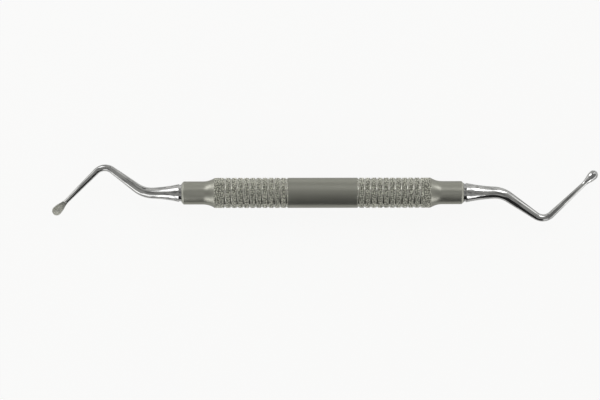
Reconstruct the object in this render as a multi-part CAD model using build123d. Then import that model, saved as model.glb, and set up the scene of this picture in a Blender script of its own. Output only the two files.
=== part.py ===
from build123d import *
import os

# Double-ended surgical curette. X runs along the handle, Z is up and the bend plane lies flat.

# handle: one tube, turned outside and necked down at both ends
grip_diameter = 9.5
grip_wall = 1.25
panel_diameter = 9.4
panel_length = 21.5
knurl_length = 22.85
flare_length = 3.8
barrel_diameter = 7.2
barrel_length = 6.6
barrel_chamfer = 0.6
groove_pitch = 1.92
groove_width = 0.48
groove_depth = 0.35
inner_land = 0.26  # knurl left between the bare panel and the first groove
outer_land = 2.2  # least knurl left between the last groove and the flare
bore_inset = 2.6  # how far inside the knurl's end the bore starts to narrow
bore_taper = 4.0

# fit of each working end in the handle
tang_diameter = 3.6
tang_length = 8.5
tang_gap = 0.02  # all round, for the braze
lead_in = 0.3

# collar at the foot of each working end, with a ring recess between two lands
ring_width = 0.6
ring_depth = 0.2
ring_land = 0.2

# shank: a round bar that thins through two bends
first_bend_radius = 8.5
second_bend_radius = 3.9
neck_diameter = 1.38

# the two ends are ground and bent by hand, so each has its own thicknesses, lengths and angles
left_collar_diameter = 5.5
left_cone = 8.1
left_shank_diameter = 3.4
left_rise_angle = 36.0
left_rise = 9.4
left_middle_diameter = 2.15  # where the second bend begins
left_drop_angle = 44.9
left_drop = 12.8
right_collar_diameter = 6.0
right_cone = 8.45
right_shank_diameter = 3.8
right_rise_angle = 34.5
right_rise = 10.15
right_middle_diameter = 2.4
right_drop_angle = 43.2
right_drop = 13.4

# spoon, measured from the centre of its round end
spoon_radius = 1.45
spoon_length = 4.6
face_height = 0.15
face_length = 3.4
facet_run = 0.55
cup_radius = 1.2
cup_length = 4.2
cup_axis_height = 0.35
cup_point = 0.03

knurl_end = panel_length / 2 + knurl_length
handle_end = knurl_end + flare_length + barrel_length
socket_diameter = tang_diameter + 2 * tang_gap
collar_length = ring_width + 2 * ring_land
groove_first = panel_length / 2 + inner_land + groove_width / 2
groove_room = knurl_length - inner_land - groove_width - outer_land
groove_count = 1 + int(groove_room / groove_pitch)


def spun(*outline):
    """Solid of revolution round the X axis from a closed half outline."""
    return revolve(make_face(outline), Axis.X)


def handle_blank():
    """The bar before grooves and bore: grip, concave flares, barrels and chamfered ends."""
    grip = grip_diameter / 2
    barrel = barrel_diameter / 2
    flare_end = knurl_end + flare_length
    shoulder = handle_end - barrel_chamfer
    rim = barrel - barrel_chamfer
    return spun(
        TangentArc((-flare_end, barrel), (-knurl_end, grip), tangent=(1, 0)),
        Line((-knurl_end, grip), (knurl_end, grip)),
        TangentArc((flare_end, barrel), (knurl_end, grip), tangent=(-1, 0)),
        Polyline((flare_end, barrel), (shoulder, barrel), (handle_end, rim), (handle_end, 0),
                 (-handle_end, 0), (-handle_end, rim), (-shoulder, barrel), (-flare_end, barrel)))


def turned_band(start, length, diameter):
    """Ring-shaped cutter that takes the grip down to a diameter over a length."""
    ring = Circle(grip_diameter) - Circle(diameter / 2)
    return extrude(Plane((start, 0, 0), z_dir=(1, 0, 0)) * ring, length)


def grip_cuts():
    """The bare middle panel, and the two rows of ring grooves beside it."""
    cuts = [turned_band(-panel_length / 2, panel_length, panel_diameter)]
    for index in range(groove_count):
        middle = groove_first + index * groove_pitch
        for side in (middle, -middle):
            cuts.append(turned_band(side - groove_width / 2, groove_width,
                                    grip_diameter - 2 * groove_depth))
    return cuts


def bore():
    """The hollow: wide under the grip, and narrowing to a socket at each end."""
    wide = grip_diameter / 2 - grip_wall
    socket = socket_diameter / 2
    narrows = knurl_end - bore_inset
    narrowed = narrows + bore_taper
    return spun(Polyline(
        (-handle_end, 0), (-handle_end, socket), (-narrowed, socket), (-narrows, wide),
        (narrows, wide), (narrowed, socket), (handle_end, socket), (handle_end, 0), close=True))


def handle():
    return handle_blank() - grip_cuts() - bore()


def tang_and_cone(collar_diameter, cone, shank_diameter, taper):
    """Tang, collar with its ring recess, and hollow-sided cone, which runs into the shank's taper."""
    tang = tang_diameter / 2
    tang_start = handle_end - tang_length
    collar = collar_diameter / 2
    recess = collar - ring_depth
    ring_start = handle_end + ring_land
    ring_end = ring_start + ring_width
    cone_start = handle_end + collar_length
    cone_end = cone_start + cone
    shank = shank_diameter / 2
    return spun(
        Polyline((tang_start, 0), (tang_start, tang - lead_in), (tang_start + lead_in, tang),
                 (handle_end, tang), (handle_end, collar), (ring_start, collar),
                 (ring_start, recess), (ring_end, recess), (ring_end, collar), (cone_start, collar)),
        TangentArc((cone_end, shank), (cone_start, collar), tangent=(-1, taper / 2)),
        Polyline((cone_end, shank), (cone_end, 0), (tang_start, 0)))


def between(start, end, share):
    return start + (end - start) * share


def bar(run, near, far):
    """One run of the shank: a cone where it is straight, and a thinning sweep round a bend."""
    if run.geom_type == GeomType.LINE:
        cone = spun(Polyline((0, 0), (0, near / 2), (run.length, far / 2), (run.length, 0), close=True))
        return Plane(run @ 0, x_dir=run % 0, z_dir=(0, 0, 1)).location * cone
    sections = [Plane(run @ at, z_dir=run % at) * Circle(diameter / 2)
                for at, diameter in ((0, near), (1, far))]
    return sweep(sections, path=run, multisection=True)


def teardrop(length, point, end):
    """Solid teardrop on the X axis: two equal arcs swell from a point radius to a ball end."""
    middle = (-length / 2, (point + end) / 2)
    return spun(
        Line((-length, 0), (-length, point)),
        TangentArc((-length, point), middle, tangent=(1, 0)),
        TangentArc((0, end), middle, tangent=(-1, 0)),
        RadiusArc((0, end), (end, 0), end),
        Line((end, 0), (-length, 0)))


def spoon():
    """Spoon pointing along X: a teardrop, ground flat on top behind a facet, then cupped."""
    blank = teardrop(spoon_length, neck_diameter / 2, spoon_radius)
    top = 2 * spoon_radius
    facet_start = -face_length - facet_run
    profile = Polyline((facet_start, neck_diameter), (-face_length, face_height),
                       (top, face_height), (top, top), (facet_start, top), close=True)
    ground = extrude(Plane.XZ * make_face(profile), top, both=True)
    cup = Pos(0, 0, cup_axis_height) * teardrop(cup_length, cup_point, cup_radius)
    return blank - ground - cup


def working_end(collar_diameter, cone, shank_diameter, rise_angle, rise, middle_diameter,
                drop_angle, drop):
    """One end in a frame of its own: out along X, first bend towards Y, cup facing up."""
    start = (handle_end + collar_length + cone, 0)
    first_bend = JernArc(start, (1, 0), first_bend_radius, rise_angle)
    riser = PolarLine(first_bend @ 1, rise, rise_angle)
    second_bend = JernArc(riser @ 1, riser % 1, second_bend_radius, -rise_angle - drop_angle)
    dropper = PolarLine(second_bend @ 1, drop, -drop_angle)
    # one even taper as far as the second bend, and a gentler one from there to the neck
    to_middle = first_bend.length + riser.length
    to_neck = second_bend.length + dropper.length
    first_diameter = between(shank_diameter, middle_diameter, first_bend.length / to_middle)
    second_diameter = between(middle_diameter, neck_diameter, second_bend.length / to_neck)
    end = tang_and_cone(collar_diameter, cone, shank_diameter,
                        (shank_diameter - middle_diameter) / to_middle)
    end += bar(first_bend, shank_diameter, first_diameter)
    end += bar(riser, first_diameter, middle_diameter)
    end += bar(second_bend, middle_diameter, second_diameter)
    end += bar(dropper, second_diameter, neck_diameter)
    aim = dropper % 1
    spoon_plane = Plane((dropper @ 1) + aim * spoon_length, x_dir=aim, z_dir=(0, 0, 1))
    return end + spoon_plane.location * spoon()


def main():
    """Lay the curette on the ground, the handle's middle over the origin, and write each piece."""
    left = working_end(left_collar_diameter, left_cone, left_shank_diameter, left_rise_angle,
                       left_rise, left_middle_diameter, left_drop_angle, left_drop)
    right = working_end(right_collar_diameter, right_cone, right_shank_diameter, right_rise_angle,
                        right_rise, right_middle_diameter, right_drop_angle, right_drop)
    pieces = {
        "handle": handle(),
        "left_working_end": mirror(left, Plane.YZ),
        "right_working_end": Rot(180, 0, 0) * right,
    }
    os.makedirs("parts", exist_ok=True)
    for name, piece in pieces.items():
        placed = Pos(0, 0, grip_diameter / 2) * piece
        print(name, round(placed.volume, 1), "mm3", placed.bounding_box())
        export_step(placed, f"parts/{name}.step")


main()
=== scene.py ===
import math

import bpy
import numpy as np
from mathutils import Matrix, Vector


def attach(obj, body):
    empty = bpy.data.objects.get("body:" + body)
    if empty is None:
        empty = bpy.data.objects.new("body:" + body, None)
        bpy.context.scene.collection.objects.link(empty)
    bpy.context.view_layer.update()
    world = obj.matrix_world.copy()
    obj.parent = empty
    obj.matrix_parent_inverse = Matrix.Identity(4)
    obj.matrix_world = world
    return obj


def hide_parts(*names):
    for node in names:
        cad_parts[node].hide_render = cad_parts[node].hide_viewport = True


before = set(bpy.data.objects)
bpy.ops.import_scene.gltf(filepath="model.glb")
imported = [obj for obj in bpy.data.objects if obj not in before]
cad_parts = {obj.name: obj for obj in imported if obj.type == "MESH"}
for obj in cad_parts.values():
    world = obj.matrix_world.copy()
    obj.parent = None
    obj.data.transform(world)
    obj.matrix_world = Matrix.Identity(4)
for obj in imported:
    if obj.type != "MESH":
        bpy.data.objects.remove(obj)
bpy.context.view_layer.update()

mm = 0.001
axisHeight = 4.75  # mm from the floor up to the handle's axis
handleEnd = 44.0  # mm from the middle to each end of the handle

# camera: straight down on the curette, from far away
camera = {
    "aim": (-7.06, -2.24),  # mm, the picture's middle
    "width": 187.5,  # mm across the picture
    "distance": 1000.0,
    "roll": 0.08,  # degrees
    "sensor": 36.0,
    "sees": (0.01, 50.0),  # metres, from the nearest to the farthest
}

# stage: pale floor, pale room that is darker overhead, softboxes to the far and near side, and cards
stage = {
    "floorSize": 8.0,  # metres
    "floorColour": (0.92, 0.92, 0.91),
    "backdrop": (1.0, 1.0, 0.995),
    "cameraShare": 0.9,  # share of plain background in what the camera sees of the floor
    "mirrorShare": 0.12,  # the same, for what the steel reflects of it
    "room": ((0.0, 0.58), (0.28, 0.50), (0.59, 0.35), (0.82, 0.27), (1.0, 0.26)),  # height, radiance
    "roomColour": (1.0, 1.0, 0.97),
    "boxes": {  # middle in metres, width and height in metres, radiance
        "farLeftBox": ((-0.150, 0.20, 0.145), (0.065, 0.21), 1.9),
        "farLeftSpill": ((-0.107, 0.20, 0.145), (0.020, 0.21), 0.8),
        "farRightBox": ((0.140, 0.20, 0.205), (0.085, 0.20), 1.9),
        "nearLeftBox": ((-0.115, -0.20, 0.110), (0.085, 0.15), 1.2),
        "nearRightBox": ((0.132, -0.20, 0.100), (0.070, 0.14), 1.15),
        "farLeftWing": ((-0.265, 0.20, 0.10), (0.15, 0.14), 0.9),
        "farRightWing": ((0.235, 0.20, 0.10), (0.12, 0.14), 0.55),
        "lowLeftStrip": ((-0.262, -0.22, 0.080), (0.175, 0.14), 0.95),
        "lowRightStrip": ((0.29, -0.22, 0.065), (0.15, 0.13), 1.1),
    },
    "cards": {  # middle, size along x, y and z, radiance
        "nearCard": ((0.008, -0.10, 0.13), (0.056, 0, 0.27), 0.02),
        "rightCard": ((0.0585, -0.10, 0.045), (0.045, 0, 0.10), 0.02),
        "lowCard": ((-0.038, -0.10, 0.050), (0.036, 0, 0.104), 0.02),
        "highCard": ((-0.012, -0.055, 0.21), (0.060, 0, 0.12), 0.06),
        "farCard": ((-0.008, 0.20, 0.065), (0.032, 0, 0.110), 0.12),
        "darkFloorCard": ((0.005, -0.062, 0.0005), (0.130, 0.076, 0), 0.04),
        "leftTop": ((-0.0365, -0.010, 0.07), (0.010, 0.050, 0), 0.72),
        "rightTop": ((0.0365, -0.010, 0.07), (0.010, 0.040, 0), 0.70),
    },
}


def makeCamera():
    lens = bpy.data.cameras.new("camera")
    lens.sensor_width = camera["sensor"]
    lens.lens = camera["sensor"] * camera["distance"] / camera["width"]
    lens.clip_start, lens.clip_end = camera["sees"]
    holder = bpy.data.objects.new("camera", lens)
    x, y = camera["aim"]
    holder.location = (x * mm, y * mm, (camera["distance"] + axisHeight) * mm)
    holder.rotation_euler = (0.0, 0.0, -math.radians(camera["roll"]))
    bpy.context.scene.collection.objects.link(holder)
    bpy.context.scene.camera = holder


class Wire:
    # one socket of a node tree; +, -, *, / and ** on it add Math nodes
    def __init__(self, bench, socket):
        self.bench, self.socket = bench, socket

    def __add__(self, other):
        return self.bench.sums("ADD", self, other)

    def __radd__(self, other):
        return self.bench.sums("ADD", other, self)

    def __sub__(self, other):
        return self.bench.sums("SUBTRACT", self, other)

    def __rsub__(self, other):
        return self.bench.sums("SUBTRACT", other, self)

    def __mul__(self, other):
        return self.bench.sums("MULTIPLY", self, other)

    def __rmul__(self, other):
        return self.bench.sums("MULTIPLY", other, self)

    def __truediv__(self, other):
        return self.bench.sums("DIVIDE", self, other)

    def __rtruediv__(self, other):
        return self.bench.sums("DIVIDE", other, self)

    def __pow__(self, other):
        return self.bench.sums("POWER", self, other)


class Bench:
    # builds the nodes of one material or of the world; a socket is named by its label, with _ for a
    # space, or by its number, as i0
    def __init__(self, owner):
        owner.use_nodes = True
        self.tree = owner.node_tree
        self.tree.nodes.clear()

    def node(self, kind, settings=None, out=0, **sockets):
        made = self.tree.nodes.new("ShaderNode" + kind)
        for name, value in (settings or {}).items():
            if name == "stops":
                self.fillRamp(made.color_ramp, value)
            else:
                setattr(made, name, value)
        for name, value in sockets.items():
            numbered = name[0] == "i" and name[1:].isdigit()
            target = made.inputs[int(name[1:]) if numbered else name.replace("_", " ")]
            if isinstance(value, Wire):
                self.tree.links.new(value.socket, target)
            else:
                target.default_value = value
        return Wire(self, made.outputs[out])

    def fillRamp(self, ramp, stops):
        while len(ramp.elements) < len(stops):
            ramp.elements.new(0.5)
        for element, (place, colour) in zip(ramp.elements, stops):
            element.position = place
            element.color = (*colour, 1.0)

    def sums(self, operation, one, two=0.0):
        return self.node("Math", {"operation": operation}, i0=one, i1=two)

    def most(self, one, two):
        return self.sums("MAXIMUM", one, two)

    def positive(self, value):
        # the value without its sign
        return self.sums("ABSOLUTE", value)

    def axis(self, where, index):
        # one coordinate of a place, in mm
        return self.node("SeparateXYZ", out=index, Vector=where) * (1 / mm)

    def step(self, value, low, high):
        # 0 below low, 1 above high, eased between them
        return self.node("MapRange", {"interpolation_type": "SMOOTHSTEP"}, Value=value,
                         From_Min=low, From_Max=high)

    def blend(self, factor, one, two):
        # colour one where factor is 0, colour two where it is 1
        return self.node("Mix", {"data_type": "RGBA"}, out=2, i0=factor, i6=one, i7=two)

    def place(self):
        # a point's place in the piece's own coordinates
        return self.node("TexCoord", out=3)

    def grain(self, where, scale, detail, roughness, stretch=None):
        # noise from 0 to 1, drawn out along an axis where stretch is under 1
        if stretch:
            where = self.node("Mapping", Vector=where, Scale=stretch)
        return self.node("TexNoise", Vector=where, Scale=scale, Detail=detail, Roughness=roughness)

    def bump(self, height, distance, strength):
        return self.node("Bump", Height=height, Distance=distance, Strength=strength)

    def finish(self, shader):
        kind = "OutputWorld" if isinstance(self.tree.id_data, bpy.types.World) else "OutputMaterial"
        made = self.tree.nodes.new("ShaderNode" + kind)
        self.tree.links.new(shader.socket, made.inputs["Surface"])


def colour(rgb):
    return (*rgb, 1.0)


def makeRoom():
    # the room's colour depends only on height above the horizon, and is plain where it is the background
    world = bpy.data.worlds.new("room")
    bpy.context.scene.world = world
    bench = Bench(world)
    height = bench.node("SeparateXYZ", out=2, Vector=bench.node("TexCoord", out=0))
    stops = []
    for at, radiance in stage["room"]:
        stops.append((at, tuple(share * radiance for share in stage["roomColour"])))
    light = bench.node("ValToRGB", {"stops": stops}, Fac=height)
    seen = bench.node("LightPath", out=0)
    bench.finish(bench.node("Background", Color=bench.blend(seen, light, colour(stage["backdrop"]))))


def makeFloor():
    # a pale sheet: its own shading, mixed with the plain background wherever it is looked at
    half = stage["floorSize"] / 2
    mesh = bpy.data.meshes.new("floor")
    mesh.from_pydata([(-half, -half, 0), (half, -half, 0), (half, half, 0), (-half, half, 0)], [],
                     [(0, 1, 2, 3)])
    floor = bpy.data.objects.new("floor", mesh)
    bpy.context.scene.collection.objects.link(floor)
    material = bpy.data.materials.new("paleFloor")
    bench = Bench(material)
    paths = bench.node("LightPath", out=0)
    glossy = Wire(bench, paths.socket.node.outputs["Is Glossy Ray"])
    through = Wire(bench, paths.socket.node.outputs["Is Transmission Ray"])
    plain = bench.most(paths * stage["cameraShare"], bench.most(glossy, through) * stage["mirrorShare"])
    sheet = bench.node("BsdfDiffuse", Color=colour(stage["floorColour"]))
    glow = bench.node("Emission", Color=colour(stage["backdrop"]), Strength=1.0)
    bench.finish(bench.node("MixShader", i0=plain, i1=sheet, i2=glow))
    mesh.materials.append(material)


def makeBoxes():
    # a softbox's power is its radiance times pi times its area
    for name, (middle, (width, height), radiance) in stage["boxes"].items():
        lamp = bpy.data.lights.new(name, "AREA")
        lamp.shape, lamp.size, lamp.size_y = "RECTANGLE", width, height
        lamp.energy = radiance * math.pi * width * height
        holder = bpy.data.objects.new(name, lamp)
        holder.location = middle
        aim = Vector((0.0, 0.0, axisHeight * mm)) - Vector(middle)
        holder.rotation_euler = aim.to_track_quat("-Z", "Y").to_euler()
        holder.visible_camera = False
        bpy.context.scene.collection.objects.link(holder)


def makeCards():
    # cards that only the steel reflects: dark ones beside it and one flat on the floor past its near side
    # for its dark bands, and two pale ones low over the barrels
    for name, (middle, (wide, deep, high), radiance) in stage["cards"].items():
        middle = Vector(middle)
        across, up = Vector((wide / 2, 0, 0)), Vector((0, deep / 2, high / 2))
        mesh = bpy.data.meshes.new(name)
        mesh.from_pydata([middle - across - up, middle + across - up, middle + across + up,
                          middle - across + up], [], [(0, 1, 2, 3)])
        card = bpy.data.objects.new(name, mesh)
        bpy.context.scene.collection.objects.link(card)
        material = bpy.data.materials.new(name)
        bench = Bench(material)
        bench.finish(bench.node("Emission", Color=(radiance, radiance, radiance, 1.0)))
        mesh.materials.append(material)
        card.visible_camera = False
        card.visible_shadow = False
        card.visible_diffuse = False


def meshFromGrid(name, points, crease, wrapRows=False, poles=False, flatStrips=None, tags=None,
                 straight=None):
    # points[row, column] is a grid that closes round its columns; a strip joins each row to the next.
    # wrapRows joins the last row to the first, and poles closes each end with one point.
    # In flat strips, each square is cut into two triangles along the diagonal nearer the axis.
    # tags is each square's material, and straight each point's place on the unbent piece, which the
    # finishes read.
    rows, columns, _ = points.shape
    strips = rows if wrapRows else rows - 1
    here = np.arange(strips)[:, None] * columns
    ahead = (np.arange(strips)[:, None] + 1) % rows * columns
    column = np.arange(columns)[None, :]
    beside = (column + 1) % columns
    a, b, c, d = here + column, here + beside, ahead + beside, ahead + column
    flat = points.reshape(-1, 3)
    reach = np.hypot(flat[:, 1], flat[:, 2] - axisHeight * mm)
    if flatStrips is None:
        flatStrips = np.zeros(strips, bool)
    cutFromA = (reach[a] + reach[c] <= reach[b] + reach[d]) | ~flatStrips[:, None]
    triangles = np.where(cutFromA[..., None], np.stack([a, b, c, a, c, d], -1),
                         np.stack([a, b, d, b, c, d], -1)).reshape(-1, 3)
    smooth = ~np.repeat(flatStrips, columns * 2)
    ids = np.zeros(len(triangles), np.int32)
    if tags is not None:
        ids = np.repeat(tags.reshape(-1), 2)
    if poles:
        ring = np.arange(columns)
        turn = (ring + 1) % columns
        last = (rows - 1) * columns
        low = np.stack([np.full(columns, len(flat)), turn, ring], -1)
        high = np.stack([np.full(columns, len(flat) + 1), last + ring, last + turn], -1)
        flat = np.concatenate([flat, points[0].mean(0)[None], points[-1].mean(0)[None]])
        triangles = np.concatenate([triangles, low, high])
        smooth = np.concatenate([smooth, np.ones(columns * 2, bool)])
        ids = np.concatenate([ids, np.zeros(columns * 2, np.int32)])
    mesh = bpy.data.meshes.new(name)
    mesh.vertices.add(len(flat))
    mesh.vertices.foreach_set("co", flat.astype(np.float32).ravel())
    mesh.loops.add(triangles.size)
    mesh.loops.foreach_set("vertex_index", triangles.astype(np.int32).ravel())
    mesh.polygons.add(len(triangles))
    mesh.polygons.foreach_set("loop_start", np.arange(0, triangles.size, 3, dtype=np.int32))
    mesh.polygons.foreach_set("use_smooth", smooth)
    mesh.polygons.foreach_set("material_index", ids.astype(np.int32))
    mesh.update(calc_edges=True)
    if straight is not None:
        ends = [straight[0].mean(0)[None], straight[-1].mean(0)[None]]
        unbent = np.concatenate([straight.reshape(-1, 3)] + ends).astype(np.float32)
        places = mesh.attributes.new("straight", "FLOAT_VECTOR", "POINT")
        places.data.foreach_set("vector", unbent.ravel())
    mesh.set_sharp_from_angle(angle=math.radians(crease))
    piece = bpy.data.objects.new(name, mesh)
    bpy.context.scene.collection.objects.link(piece)
    print(name, "has", len(triangles), "triangles")
    return piece


# handle: a turned tube with a diamond knurl between ring grooves; mm, from its middle
handleSize = {
    "gripRadius": 4.75,
    "panelRadius": 4.7,
    "barrelRadius": 3.6,
    "rimRadius": 3.0,
    "panelHalf": 10.75,
    "knurlEnd": 33.6,
    "flareEnd": 37.4,
    "shoulder": 43.4,
    "grooveStart": 11.01,
    "groovePitch": 1.92,
    "grooveCount": 11,
    "grooveWidth": 0.48,
    "grooveDepth": 0.35,
    "grooveRound": 0.05,  # rounding of a groove's edges
    "grooveSquareness": 12,  # power in a groove's profile: the higher, the squarer
    "socketRadius": 1.82,
    "boreRadius": 3.5,
    "boreNarrows": 31.0,
    "boreNarrowed": 35.0,
    "edge": 0.05,  # softened corners
    "cornerPoints": (0.7, 1.4),  # shares of that edge at which each corner has a point
    "crease": 38,  # degrees past which an edge is sharp
    "knurlPitch": 0.48,  # along the handle; four to one groove pitch
    "knurlCount": 62,  # diamonds round the handle
    "knurlDepth": 0.18,
    "knurlWear": 0.05,  # how far a crest may be worn down
    "knurlSeed": 7,
    "knurlRunout": 0.4,  # how far the diamonds run into the flare
    "cutAway": 0.01,  # below the grip's radius by this much, a row isn't part of a knurled land
    # rows of the mesh along it
    "panelRows": (0.0, 3.5, 7.0, 9.5, 10.5),
    "panelStep": 0.005,  # half the run of the step from panel to knurl
    "troughRows": (-1, -0.96, -0.84, -0.5, 0, 0.5, 0.84, 0.96, 1),  # shares of a groove's half width
    "landRows": 5,
    "flareRows": 14,
    "flareGap": 0.05,  # from the last diamond to the flare's first row
    "barrelRows": (38.2, 40.0, 42.0),
}


def turnedRadius(x, size):
    # radius of the turned handle at x: bands of one radius each, a circular arc for the flare and
    # a rounded trough for each groove: depth * sqrt(1 - across^squareness)
    run = size["flareEnd"] - size["knurlEnd"]
    rise = size["gripRadius"] - size["barrelRadius"]
    arc = (run ** 2 + rise ** 2) / (2 * rise)
    along = np.clip(size["flareEnd"] - x, 0, run)
    flare = size["barrelRadius"] + arc - np.sqrt(arc ** 2 - along ** 2)
    radius = np.where(x < size["panelHalf"], size["panelRadius"], size["gripRadius"])
    radius = np.where(x > size["knurlEnd"], flare, radius)
    half = size["grooveWidth"] / 2
    past = x - size["grooveStart"] - half
    index = np.clip(np.round(past / size["groovePitch"]), 0, size["grooveCount"] - 1)
    fromMiddle = past - index * size["groovePitch"]
    across = np.clip(np.abs(fromMiddle) / (half + size["grooveRound"]), 0, 1)
    return radius - size["grooveDepth"] * (1 - across ** size["grooveSquareness"]) ** 0.5


def knurlRadius(x, turn, size):
    # two families of V cuts cross at phases p and q; the deeper one counts, so what is left is a
    # field of pyramids: radius = grip - 2 * depth * max(|p|, |q|), each crest worn by a share of its own
    along = (x - size["grooveStart"]) / size["knurlPitch"]
    p, q = along + turn, along - turn
    p, q = p - np.round(p), q - np.round(q)
    cut = 2 * np.maximum(np.abs(p), np.abs(q))
    worn = np.random.default_rng(size["knurlSeed"]).random(cut.shape) * np.clip(1 - cut, 0, 1)
    return size["gripRadius"] - size["knurlDepth"] * cut - size["knurlWear"] * worn


def handleRows(size):
    # distances from the middle at which the outer skin has a row, out to the shoulder
    step = size["knurlPitch"] / 2
    half = size["grooveWidth"] / 2
    panelEnd = size["panelHalf"] + size["panelStep"] * np.array([-1, 1])
    starts = size["grooveStart"] + size["groovePitch"] * np.arange(size["grooveCount"])
    trough = half + (half + size["grooveRound"]) * np.array(size["troughRows"])
    land = size["grooveWidth"] + step * np.arange(1, size["landRows"] + 1)
    bands = (starts[:, None] + np.concatenate([trough, land])[None, :]).ravel()
    lastDiamond = size["knurlEnd"] + size["knurlRunout"]
    lastLand = np.arange(bands[-1] + step, lastDiamond, step)
    flare = np.linspace(lastDiamond + size["flareGap"], size["flareEnd"], size["flareRows"])
    shoulder = size["shoulder"] - size["edge"] * np.array([2, 1])
    return np.concatenate([size["panelRows"], panelEnd, [size["grooveStart"] - step / 2], bands, lastLand,
                           flare, size["barrelRows"], shoulder])


def makeHandle(size):
    rows = handleRows(size)
    turn = np.arange(size["knurlCount"] * 2) / 2
    radius = np.repeat(turnedRadius(rows, size)[:, None], len(turn), 1)
    knurl = knurlRadius(rows[:, None], turn[None, :], size)
    lastDiamond = size["knurlEnd"] + size["knurlRunout"]
    knurled = (rows > size["panelHalf"]) & (rows < lastDiamond)
    radius = np.where(knurled[:, None], np.minimum(radius, knurl), radius)
    # the rounded end face, and then the bore back to the middle; x and radius of each row
    shoulder, barrel, rim, edge = size["shoulder"], size["barrelRadius"], size["rimRadius"], size["edge"]
    first, second = edge * np.array(size["cornerPoints"])
    tail = np.array([
        (shoulder + first, barrel - first),
        (shoulder + second, barrel - second),
        (handleEnd - second, rim + second),
        (handleEnd - first, rim + first),
        (handleEnd, rim - edge),
        (handleEnd, rim - edge * 2),
        (handleEnd, size["socketRadius"]),
        (size["boreNarrowed"], size["socketRadius"]),
        (size["boreNarrows"], size["boreRadius"]),
        (0.0, size["boreRadius"])])
    x = np.concatenate([rows, tail[:, 0]])
    radius = np.concatenate([radius, np.repeat(tail[:, 1:], len(turn), 1)])
    x = np.concatenate([x, -x[::-1][1:-1]])
    radius = np.concatenate([radius, radius[::-1][1:-1]])
    angle = 2 * np.pi * turn / size["knurlCount"]
    points = np.stack([
        np.broadcast_to(x[:, None], (len(x), len(turn))),
        -radius * np.sin(angle)[None, :],
        axisHeight + radius * np.cos(angle)[None, :]], -1) * mm
    # only strips between knurled rows are left with flat facets
    far = np.abs(x)
    uncut = turnedRadius(far, size) >= size["gripRadius"] - size["cutAway"]
    land = (far > size["panelHalf"]) & (far < lastDiamond) & uncut
    return meshFromGrid("handleBody", points, size["crease"], wrapRows=True,
                        flatStrips=land & np.roll(land, -1))


# working ends: one bar each, from the tang in the handle to the spoon; mm, the spoon's places from
# the middle of its round end
endSize = {
    "tangRadius": 1.8,
    "tangStart": 35.5,
    "tangMiddle": 40.0,
    "leadIn": 0.3,
    "ringWidth": 0.6,
    "ringDepth": 0.2,
    "ringLand": 0.2,
    "neckRadius": 0.69,
    "firstBend": 8.5,
    "secondBend": 3.9,
    "spoonRadius": 1.45,
    "spoonLength": 4.6,
    "faceHeight": 0.15,
    "faceLength": 3.4,
    "facetRun": 0.55,
    "cupRadius": 1.2,
    "cupLength": 4.2,
    "cupAxisHeight": 0.35,
    "cupPoint": 0.03,
    "under": 0.003,  # taken off every radius, so that the visual model stays inside the solids' box
    "crease": 32,  # degrees past which an edge is sharp
    # points of a section, and rows of the mesh along the bar
    "backPoints": 46,
    "facePoints": 26,
    "cupShare": 10 / 13,  # share of the face's points that lie over the cup
    "widestMouth": 0.97,  # most of the face's half width that the cup's mouth takes
    "leastMouth": 0.02,  # least half width that the points over the cup close up to
    "mouthStart": 0.2,  # run from the cup's point in which they don't follow its mouth yet
    "leastSpread": 2.0,  # half angle in degrees that the face's points take where there is no face
    "gatherRun": 6.0,  # run before the neck over which they close up to that
    "step": 0.001,  # run of a square step
    "ringWall": 0.03,  # run of the ring recess's side walls
    "ringRows": (-0.03, 0, 0.02, 0.03, 0.06),  # from each end of the recess, inwards
    "coneCorner": (-0.05, -0.01),  # last rows before the cone's start
    "coneRow": 0.02,  # first row after it
    "lipRows": (0.25, 0.5, 0.72, 0.88, 0.97, 1.0),  # shares of the way from cup to end of face
    "tipGap": 0.0008,  # from the last row to the very tip
    "rows": {"cone": 22, "firstBend": 22, "riser": 12, "secondBend": 36, "drop": 20, "neck": 9,
             "facet": 10, "face": 34, "end": 15},
}
bends = {  # middleRadius is where the second bend begins
    "left": {"collarRadius": 2.75, "cone": 8.1, "shankRadius": 1.7, "riseAngle": 36.0, "rise": 9.4,
             "middleRadius": 1.075, "dropAngle": 44.9, "drop": 12.8},
    "right": {"collarRadius": 3.0, "cone": 8.45, "shankRadius": 1.9, "riseAngle": 34.5, "rise": 10.15,
              "middleRadius": 1.2, "dropAngle": 43.2, "drop": 13.4},
}


def teardropRadius(x, length, tip, end):
    # two equal arcs swell from the tip's radius to the ball end's, whose centre is at x = 0:
    # radius = tip + k * (x + length)^2 nearly, as a circle, to the half way, then the same turned over
    half, lift = length / 2, (end - tip) / 2
    arc = (half ** 2 + lift ** 2) / (2 * lift)
    near = np.clip(x + length, 0, half)
    far = np.clip(-x, 0, half)
    swell = np.where(x < -half, tip + arc - np.sqrt(arc ** 2 - near ** 2),
                     end - arc + np.sqrt(arc ** 2 - far ** 2))
    ball = np.sqrt(np.clip(end ** 2 - x ** 2, 0, None))
    return np.where(x > 0, ball, swell)


def arcRadius(x, start, end, startRadius, endRadius, slope):
    # hollow side of the cone: the circle through both ends that leaves the shank at its own slope
    normal = np.array([slope, 1.0]) / math.hypot(slope, 1.0)
    chord = np.array([start - end, startRadius - endRadius])
    arc = (chord @ chord) / (2 * (chord @ normal))
    middle = np.array([end, endRadius]) + normal * arc
    return middle[1] - np.sqrt(arc ** 2 - (x - middle[0]) ** 2)


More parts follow.
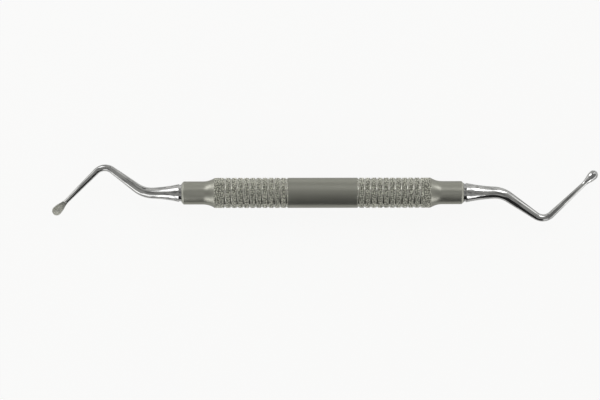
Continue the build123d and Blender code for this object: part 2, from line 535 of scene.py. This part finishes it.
def endPlaces(size, bend):
    # places along the unbent bar, from the handle's middle, and how far its two bends turn
    rise, fall = math.radians(bend["riseAngle"]), math.radians(bend["riseAngle"] + bend["dropAngle"])
    ringStart = handleEnd + size["ringLand"]
    ringEnd = ringStart + size["ringWidth"]
    coneStart = ringEnd + size["ringLand"]
    coneEnd = coneStart + bend["cone"]
    runs = [rise * size["firstBend"], bend["rise"], fall * size["secondBend"], bend["drop"]]
    riserStart, riserEnd, dropStart, neck = coneEnd + np.cumsum(runs)
    return {
        "rise": rise, "fall": fall, "ringStart": ringStart, "ringEnd": ringEnd,
        "coneStart": coneStart, "coneEnd": coneEnd, "riserStart": riserStart, "riserEnd": riserEnd,
        "dropStart": dropStart, "neck": neck, "ball": neck + size["spoonLength"],
        # on the spoon, from the middle of its round end
        "facetStart": -size["faceLength"] - size["facetRun"],
        "faceEnd": math.sqrt(size["spoonRadius"] ** 2 - size["faceHeight"] ** 2),
        "cupEnd": math.sqrt(size["cupRadius"] ** 2 - (size["cupAxisHeight"] - size["faceHeight"]) ** 2),
    }


def onward(start, end, rows):
    # even rows after start, up to and with end
    return np.linspace(start, end, rows)[1:]


def endRows(size, at):
    # where along the bar its sections stand, closer together where it turns or swells
    count = size["rows"]
    ringRows = np.array(size["ringRows"])
    faceEnd, cupEnd = at["faceEnd"], at["cupEnd"]
    spoon = np.concatenate([
        onward(-size["spoonLength"], at["facetStart"], count["neck"]),
        onward(at["facetStart"], -size["faceLength"], count["facet"]),
        onward(-size["faceLength"], 0, count["face"]),
        np.sin(np.linspace(0, np.pi / 2, count["end"]))[1:] * cupEnd,
        cupEnd + (faceEnd - cupEnd) * np.array(size["lipRows"]),
        [(faceEnd + size["spoonRadius"]) / 2, size["spoonRadius"] - size["tipGap"]]])
    return np.concatenate([
        [size["tangStart"], size["tangStart"] + size["leadIn"], size["tangMiddle"],
         handleEnd - size["step"], handleEnd],
        at["ringStart"] + ringRows,
        at["ringEnd"] - ringRows[::-1],
        at["coneStart"] + np.array(size["coneCorner"]),
        np.linspace(at["coneStart"] + size["coneRow"], at["coneEnd"], count["cone"]),
        onward(at["coneEnd"], at["riserStart"], count["firstBend"]),
        onward(at["riserStart"], at["riserEnd"], count["riser"]),
        onward(at["riserEnd"], at["dropStart"], count["secondBend"]),
        onward(at["dropStart"], at["neck"], count["drop"]),
        at["ball"] + spoon])


def centreLine(s, at):
    # heading from the length of bend passed; place as the running sum of chords, where a row's chord
    # is step * sin(change / 2) / (change / 2)
    drop = at["rise"] - at["fall"]
    heading = np.interp(
        s, [at["coneEnd"], at["riserStart"], at["riserEnd"], at["dropStart"], at["neck"]],
        [0, at["rise"], at["rise"], drop, drop])
    step, middle, change = np.diff(s), (heading[1:] + heading[:-1]) / 2, np.diff(heading)
    chord = step * np.sinc(change / 2 / np.pi)
    x = s[0] + np.concatenate([[0], np.cumsum(chord * np.cos(middle))])
    y = np.concatenate([[0], np.cumsum(chord * np.sin(middle))])
    return x, y, heading


def barRadius(s, size, bend, at):
    # tang, collar with its ring recess, hollow-sided cone, thinning shank, and the spoon's teardrop
    tang = size["tangRadius"] - np.clip(size["tangStart"] + size["leadIn"] - s, 0, None)
    half = size["ringWidth"] / 2
    ring = np.interp(np.abs(s - (at["ringStart"] + at["ringEnd"]) / 2), [half - size["ringWall"], half],
                     [bend["collarRadius"] - size["ringDepth"], bend["collarRadius"]])
    slope = (bend["shankRadius"] - bend["middleRadius"]) / (at["riserEnd"] - at["coneEnd"])
    cone = arcRadius(np.clip(s, at["coneStart"], at["coneEnd"]), at["coneStart"], at["coneEnd"],
                     bend["collarRadius"], bend["shankRadius"], slope)
    shank = np.interp(s, [at["coneEnd"], at["riserEnd"], at["neck"]],
                      [bend["shankRadius"], bend["middleRadius"], size["neckRadius"]])
    spoon = teardropRadius(s - at["ball"], size["spoonLength"], size["neckRadius"], size["spoonRadius"])
    radius = np.select([s < handleEnd, s < at["coneStart"], s < at["coneEnd"], s <= at["neck"]],
                       [tang, ring, cone, shank], spoon)
    return radius - size["under"]


def faceSpread(into, radius, plane, size, at):
    # half angle of the section, from straight up, that the face's points take at each row
    spread = np.arccos(np.clip(plane / radius, -1, 1))
    plain = math.pi * size["facePoints"] / (size["facePoints"] + size["backPoints"])
    least = math.radians(size["leastSpread"])
    gather = np.clip((-size["spoonLength"] - into) / size["gatherRun"], 0, 1)
    gather = gather * gather * (3 - 2 * gather)
    beforeFacet = into < at["facetStart"] + size["step"]
    spread = np.where(beforeFacet, least + (plain - least) * gather, np.maximum(spread, least))
    pastFace = np.clip((into - at["faceEnd"]) / (size["spoonRadius"] - at["faceEnd"]), 0, 1)
    return np.maximum(spread, least + (plain - least) * pastFace)


def endSections(into, radius, size, at):
    # each row's points, sideways and upward from the bar's middle: q runs from 1 to -1 across the
    # face, whose height is the least of the bar, the ground plane and the cup, and the rest go round
    # the back
    facet = np.clip((-size["faceLength"] - into) / size["facetRun"], 0, None)
    plane = size["faceHeight"] + (2 * size["neckRadius"] - size["faceHeight"]) * facet
    spread = faceSpread(into, radius, plane, size, at)
    q = np.linspace(1, -1, size["facePoints"] + 1)[:-1]
    share = np.abs(q)[None, :]
    cup = teardropRadius(into, size["cupLength"], size["cupPoint"], size["cupRadius"])
    cup = np.where(into < -size["cupLength"], 0, cup)
    drop = size["cupAxisHeight"] - size["faceHeight"]
    mouth = np.sqrt(np.clip(cup ** 2 - drop ** 2, 0, None))  # half width of the cup at the face
    half = radius * np.sin(spread)
    inner = np.minimum(np.maximum(mouth, size["leastMouth"]), half * size["widestMouth"])
    inner = np.where(into < -size["cupLength"] + size["mouthStart"], half * size["cupShare"], inner)
    overCup = np.sin(np.clip(share / size["cupShare"], 0, 1) * np.pi / 2)
    across = np.where(
        share <= size["cupShare"], inner[:, None] * overCup,
        inner[:, None] + (half - inner)[:, None] * (share - size["cupShare"]) / (1 - size["cupShare"]))
    onBar = (into < -size["spoonLength"] - size["step"])[:, None]
    across = np.where(onBar, radius[:, None] * np.sin(share * spread[:, None]), across)
    across = across * np.sign(q)[None, :]
    overBar = np.sqrt(np.clip(radius[:, None] ** 2 - across ** 2, 0, None))
    cupFloor = size["cupAxisHeight"] - np.sqrt(np.clip(cup[:, None] ** 2 - across ** 2, 0, None))
    cupFloor = np.where(np.abs(across) < mouth[:, None], cupFloor, np.inf)
    top = np.minimum(np.minimum(overBar, np.maximum(plane, 0)[:, None]), cupFloor)
    back = np.arange(size["backPoints"]) / size["backPoints"]
    angle = math.pi / 2 + spread[:, None] + back[None, :] * 2 * (math.pi - spread[:, None])
    sideways = np.concatenate([across, radius[:, None] * np.cos(angle)], 1)
    upward = np.concatenate([top, radius[:, None] * np.sin(angle)], 1)
    return sideways, upward


def makeEnd(name, bend, size, side):
    at = endPlaces(size, bend)
    s = endRows(size, at)
    into = s - at["ball"]
    lineX, lineY, heading = centreLine(s, at)
    sideways, upward = endSections(into, barRadius(s, size, bend, at), size, at)
    straight = np.stack([np.broadcast_to(into[:, None], sideways.shape), sideways, upward], -1)
    alongX = lineX[:, None] - np.sin(heading)[:, None] * sideways
    alongY = lineY[:, None] + np.cos(heading)[:, None] * sideways
    onFace = (into > at["facetStart"])[:-1, None] & (into < at["faceEnd"])[1:, None]
    columns = np.arange(sideways.shape[1])
    # the left end is the mirror image; the right end is turned over, so its cup looks down
    if side == "left":
        points = np.stack([-alongX, alongY, axisHeight + upward], -1)
        points, straight, columns = points[:, ::-1], straight[:, ::-1], columns[::-1]
    else:
        points = np.stack([alongX, -alongY, axisHeight - upward], -1)
    tags = (onFace & (columns < size["facePoints"])[None, :]).astype(np.int32)
    if side == "left":
        tags = np.roll(tags, -1, 1)
    return meshFromGrid(name, points * mm, size["crease"], poles=True, tags=tags, straight=straight * mm)


# satin steel: blasted, with painted glints and painted shade on the knurl's diamonds, painted shade in
# the valleys round them, and the bottoms of the grooves smoother
satinSteel = {
    "colour": (0.465, 0.465, 0.41),
    "roughness": 0.35,
    "metal": 0.92,
    # painted glints and painted shade: each diamond is drawn bright or dark by chance, as if it caught
    # the light or not
    "unlitDiamond": (0.23, 0.23, 0.20),
    "glintDiamond": (1.0, 1.0, 0.90),
    "diamondSpread": (0.33, 0.67),  # chances up to which a diamond is dull, and from which it is bright
    "neighbourShare": -0.45,  # share of two neighbours' chances in a diamond's own
    # painted shade in the knurl's valleys, darkest near the bottom of each cut
    "valleyShade": (0.42, 0.42, 0.375),
    "valley": (0.62, 0.95),  # shares of the knurl's depth between which that colour takes over
    "knurlRoughness": 0.62,
    "knurlEdge": (-0.01, 0.01),  # mm from the panel's end
    "knurlFade": (0.1, 0.4),  # mm past the grip's end
    "grooveColour": (0.70, 0.70, 0.63),
    "grooveRoughness": 0.16,
    "grooveFade": (0.02, 0.08),  # mm above a groove's bottom
    "edgeColour": (0.66, 0.66, 0.59),
    "edgeRoughness": 0.28,
    "edgeStart": (-0.02, 0.06),  # mm past the shoulder
    "cloudColour": (0.80, 0.80, 0.77),
    "clouds": (260.0, 3.0, 0.55),  # scale, detail and roughness of the noise
    "cloudMiddle": 0.35,
    "cloudStrength": 0.4,
    "pits": (9000.0, 2.0, 0.6),
    "pitRoughness": 0.16,
    "pitDepth": 0.00002,  # metres
    "pitStrength": 0.5,
}


def edges(start, pair):
    # the two ends of a fade, from a place and a pair of distances from it
    return start + pair[0], start + pair[1]


def makeSatin(size, look):
    material = bpy.data.materials.new("satinStainless")
    bench = Bench(material)
    where = bench.place()
    x, y, up = bench.axis(where, 0), bench.axis(where, 1), bench.axis(where, 2) - axisHeight
    reach = (y * y + up * up) ** 0.5
    far = bench.positive(x)
    inKnurl = bench.step(far, *edges(size["panelHalf"], look["knurlEdge"]))
    inKnurl = inKnurl * (1 - bench.step(far, *edges(size["knurlEnd"], look["knurlFade"])))
    bottom = size["gripRadius"] - size["grooveDepth"]
    groove = inKnurl * (1 - bench.step(reach, *edges(bottom, look["grooveFade"])))
    # the same phases p and q as the knurl's cuts; rounded, they name the diamond
    along = (far - size["grooveStart"]) / size["knurlPitch"]
    turn = bench.sums("ARCTAN2", 0 - y, up) * (size["knurlCount"] / (2 * math.pi))
    p, q = along + turn, along - turn
    wholeP, wholeQ = bench.sums("ROUND", p), bench.sums("ROUND", q)
    # each diamond's painted glint, bright to dark: its own random number, less a share of those of two
    # neighbours
    chance, half = 0.5, bench.sums("SIGN", x)
    for besideP, besideQ, share in ((0, 0, 1.0), (1, 0, look["neighbourShare"]),
                                    (0, -1, look["neighbourShare"])):
        cell = bench.node("CombineXYZ", X=wholeP + besideP, Y=wholeQ + besideQ, Z=half)
        shadeOfCell = bench.node("TexWhiteNoise", {"noise_dimensions": "3D"}, Vector=cell)
        chance = chance + (shadeOfCell - 0.5) * share
    cut = 2 * bench.most(bench.positive(p - wholeP), bench.positive(q - wholeQ))
    # painted glints and painted shade on the diamonds
    diamond = bench.blend(bench.step(chance, *look["diamondSpread"]), colour(look["unlitDiamond"]),
                          colour(look["glintDiamond"]))
    # painted shade in the valleys round the diamonds
    diamond = bench.blend(bench.step(cut, *look["valley"]), diamond, colour(look["valleyShade"]))
    shade = bench.blend(inKnurl, colour(look["colour"]), diamond)
    shade = bench.blend(groove, shade, colour(look["grooveColour"]))
    onEdge = bench.step(far, *edges(size["shoulder"], look["edgeStart"]))
    shade = bench.blend(onEdge, shade, colour(look["edgeColour"]))
    clouds = (bench.grain(where, *look["clouds"]) - look["cloudMiddle"]) * look["cloudStrength"]
    shade = bench.node("Mix", {"data_type": "RGBA", "blend_type": "MULTIPLY"}, out=2,
                       i0=clouds, i6=shade, i7=colour(look["cloudColour"]))
    pits = bench.grain(where, *look["pits"])
    rough = look["roughness"] + inKnurl * (look["knurlRoughness"] - look["roughness"])
    rough = rough + onEdge * (look["edgeRoughness"] - look["roughness"])
    rough = rough + (pits - 0.5) * look["pitRoughness"]
    rough = rough * (1 - groove) + groove * look["grooveRoughness"]
    bench.finish(bench.node("BsdfPrincipled", Base_Color=shade, Metallic=look["metal"], Roughness=rough,
                            Normal=bench.bump(pits, look["pitDepth"], look["pitStrength"])))
    return material


# polished steel: mirror-bright, with the fine streaks that polishing leaves along the bar
polishedSteel = {
    "colour": (0.82, 0.82, 0.81),
    "roughness": 0.06,
    "streakColour": (0.36, 0.36, 0.36),
    "streaks": (2600.0, 3.0, 0.6),  # scale, detail and roughness of the noise
    "streakStretch": (0.05, 1.0, 1.0),
    "streakEdges": (0.40, 0.55),  # noise up to which it is all streak, and from which all bright
    "lines": (1500.0, 2.0, 0.5),
    "lineStretch": (0.08, 1.0, 1.0),
    "lineDepth": 0.00003,  # metres
    "lineStrength": 0.5,
    "clouds": (500.0, 3.0, 0.5),
    "cloudMiddle": 0.4,
    "cloudRoughness": 0.08,
}


def makePolished(look):
    material = bpy.data.materials.new("polishedStainless")
    bench = Bench(material)
    where = bench.node("Attribute", {"attribute_name": "straight"}, out=1)
    streaks = bench.grain(where, *look["streaks"], stretch=look["streakStretch"])
    lines = bench.grain(where, *look["lines"], stretch=look["lineStretch"])
    clouds = bench.grain(where, *look["clouds"]) - look["cloudMiddle"]
    shade = bench.blend(bench.step(streaks, *look["streakEdges"]), colour(look["streakColour"]),
                        colour(look["colour"]))
    bench.finish(bench.node("BsdfPrincipled", Base_Color=shade, Metallic=1.0,
                            Roughness=look["roughness"] + clouds * look["cloudRoughness"],
                            Normal=bench.bump(lines, look["lineDepth"], look["lineStrength"])))
    return material


# ground steel, of the spoon's face and cup: matt and mottled, with painted shade towards the neck and
# painted light towards the round end; the facet is smoother
groundSteel = {
    "colour": (0.90, 0.90, 0.84),
    # painted shade towards the neck, where the hollow face turns away from the light, and painted light
    # towards the round end
    "neckShadeColour": (0.42, 0.42, 0.39),
    "shadeRun": (0.6, 3.1),  # mm behind the round end's middle, over which the face darkens
    "endLightShare": 0.75,
    "mottle": (2300.0, 3.0, 0.65),  # scale, detail and roughness of the noise
    "mottleShare": 1.6,
    "grit": (12000.0, 2.0, 0.6),
    "gritDepth": 0.00003,  # metres
    "gritStrength": 0.6,
    "roughness": 0.62,
    "mottleRoughness": 0.3,
    "facetRoughness": 0.22,
    "facetEdge": (0.02, 0.06),  # mm behind the flat face
}


def makeGround(size, look):
    material = bpy.data.materials.new("groundStainless")
    bench = Bench(material)
    where = bench.node("Attribute", {"attribute_name": "straight"}, out=1)
    behind = 0 - bench.axis(where, 0)
    mottle = bench.grain(where, *look["mottle"])
    grit = bench.grain(where, *look["grit"])
    # painted light at the round end, fading into painted shade towards the neck
    pale = 1 - bench.step(behind, *look["shadeRun"])
    shade = bench.blend(pale * look["endLightShare"] + (mottle - 0.5) * look["mottleShare"],
                        colour(look["neckShadeColour"]), colour(look["colour"]))
    facet = bench.step(behind, *edges(size["faceLength"], look["facetEdge"]))
    rough = look["roughness"] + (mottle - 0.5) * look["mottleRoughness"]
    rough = rough + facet * (look["facetRoughness"] - look["roughness"])
    bench.finish(bench.node("BsdfPrincipled", Base_Color=shade, Metallic=1.0, Roughness=rough,
                            Normal=bench.bump(grit + mottle, look["gritDepth"], look["gritStrength"])))
    return material


makeCamera()
makeRoom()
makeFloor()
makeBoxes()
makeCards()
bpy.context.scene.view_settings.view_transform = "Standard"
print("stage and camera are ready")

satin = makeSatin(handleSize, satinSteel)
polished = makePolished(polishedSteel)
ground = makeGround(endSize, groundSteel)
nodeMaterials = {"handle": satin, "left_working_end": polished, "right_working_end": polished}
for node, material in nodeMaterials.items():
    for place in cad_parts[node].material_slots:
        place.material = material
print("finishes are ready")

handleBody = makeHandle(handleSize)
handleBody.data.materials.append(satin)
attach(handleBody, "root")
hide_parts("handle")
print("handle is ready")

for side in ("left", "right"):
    bar = makeEnd(side + "End", bends[side], endSize, side)
    bar.data.materials.append(polished)
    bar.data.materials.append(ground)
    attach(bar, "root")
    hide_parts(side + "_working_end")
print("working ends are ready")
